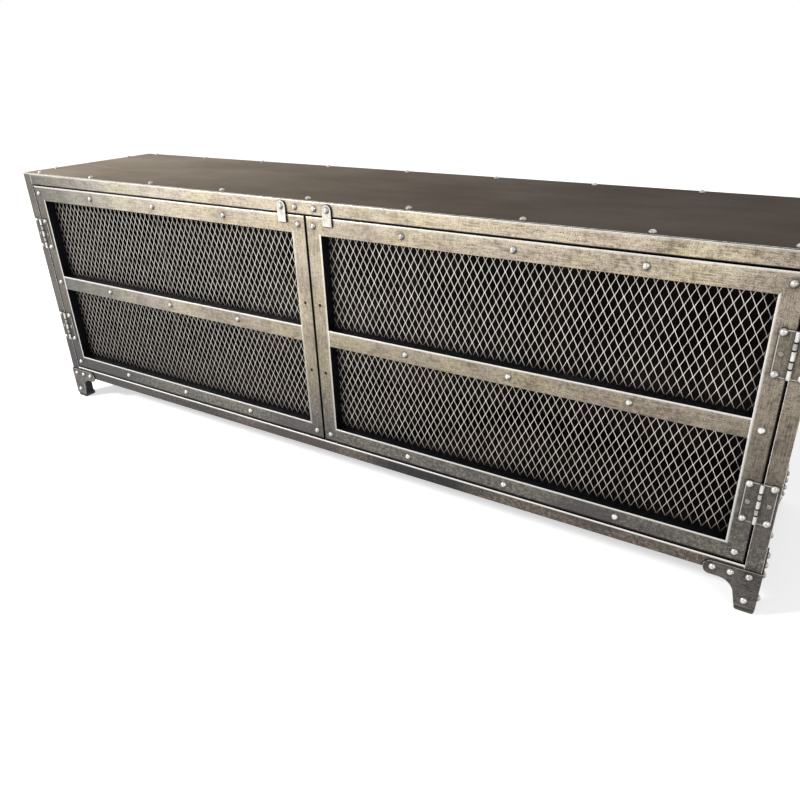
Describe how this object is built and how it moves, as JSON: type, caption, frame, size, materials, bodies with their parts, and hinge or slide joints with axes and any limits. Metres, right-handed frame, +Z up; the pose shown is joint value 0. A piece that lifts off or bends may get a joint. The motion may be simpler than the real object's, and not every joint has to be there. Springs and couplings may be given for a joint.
{
  "type": "media cabinet",
  "caption": "Low steel media cabinet on bracket feet, with a riveted sheet top, diamond-mesh doors on butt hinges and turning latch tabs.",
  "frame": {"origin": "on the floor under the middle of the case", "axes": "+X along the front to the right seen from the front, +Y from the doors to the back, +Z up"},
  "size_m": [1.8452, 0.4152, 0.6346],
  "materials": {
    "frame_steel": "rubbed raw steel with brown patina and bright worn edges",
    "door_steel": "rubbed raw steel with brown patina and bright worn edges",
    "top_steel": "dark bronze satin sheet, brushed lengthwise",
    "panel_steel": "dark grey satin sheet",
    "mesh_steel": "pale grey-beige steel",
    "rivet_steel": "bright worn steel",
    "hinge_steel": "rubbed steel with bright knuckles",
    "latch_steel": "bright worn steel",
    "bracket_steel": "dark steel with bright rubbed rims",
    "pad_rubber": "dark brown rubber"
  },
  "bodies": {
    "frame": {"back_bottom_rail": "frame_steel", "back_left_foot_bracket": "bracket_steel", "back_left_foot_pad": "pad_rubber", "back_left_post": "frame_steel", "back_right_foot_bracket": "bracket_steel", "back_right_foot_pad": "pad_rubber", "back_right_post": "frame_steel", "back_sheet": "panel_steel", "back_top_rail": "frame_steel", "bottom_bearer": "frame_steel", "bottom_sheet": "panel_steel", "centre_post": "frame_steel", "foot_rivets": "rivet_steel", "frame_hinge_rivets": "rivet_steel", "front_bottom_rail": "frame_steel", "front_left_foot_bracket": "bracket_steel", "front_left_foot_pad": "pad_rubber", "front_left_post": "frame_steel", "front_right_foot_bracket": "bracket_steel", "front_right_foot_pad": "pad_rubber", "front_right_post": "frame_steel", "front_top_rail": "frame_steel", "hinge_pins": "hinge_steel", "latch_pivots": "rivet_steel", "latch_plate_rivets": "rivet_steel", "left_bottom_rail": "frame_steel", "left_lower_frame_leaf": "hinge_steel", "left_side_sheet": "panel_steel", "left_top_rail": "frame_steel", "left_upper_frame_leaf": "hinge_steel", "panel_rivets": "rivet_steel", "right_bottom_rail": "frame_steel", "right_lower_frame_leaf": "hinge_steel", "right_side_sheet": "panel_steel", "right_top_rail": "frame_steel", "right_upper_frame_leaf": "hinge_steel", "top_bearer": "frame_steel", "top_rivets": "rivet_steel", "top_sheet": "top_steel"},
    "left_door": {"left_door_bottom_rail": "door_steel", "left_door_inner_stile": "door_steel", "left_door_mesh": "mesh_steel", "left_door_middle_rail": "door_steel", "left_door_outer_stile": "door_steel", "left_door_rivets": "rivet_steel", "left_door_top_rail": "door_steel", "left_lower_door_leaf": "hinge_steel", "left_upper_door_leaf": "hinge_steel"},
    "right_door": {"right_door_bottom_rail": "door_steel", "right_door_inner_stile": "door_steel", "right_door_mesh": "mesh_steel", "right_door_middle_rail": "door_steel", "right_door_outer_stile": "door_steel", "right_door_rivets": "rivet_steel", "right_door_top_rail": "door_steel", "right_lower_door_leaf": "hinge_steel", "right_upper_door_leaf": "hinge_steel"},
    "left_latch": {"left_latch": "latch_steel"},
    "right_latch": {"right_latch": "latch_steel"}
  },
  "joints": [
    {"name": "left_door_hinge", "type": "hinge", "parent": "frame", "child": "left_door", "pos_m": [-0.8865, -0.2033, 0.349], "axis": [0, 0, -1], "range_deg": [0, 150]},
    {"name": "right_door_hinge", "type": "hinge", "parent": "frame", "child": "right_door", "pos_m": [0.8865, -0.2033, 0.349], "axis": [0, 0, 1], "range_deg": [0, 150]},
    {"name": "left_latch_pivot", "type": "hinge", "parent": "frame", "child": "left_latch", "pos_m": [-0.0565, -0.202, 0.615], "axis": [0, 1, 0], "range_deg": [-50, 230]},
    {"name": "right_latch_pivot", "type": "hinge", "parent": "frame", "child": "right_latch", "pos_m": [0.0565, -0.202, 0.615], "axis": [0, -1, 0], "range_deg": [-50, 230]}
  ]
}
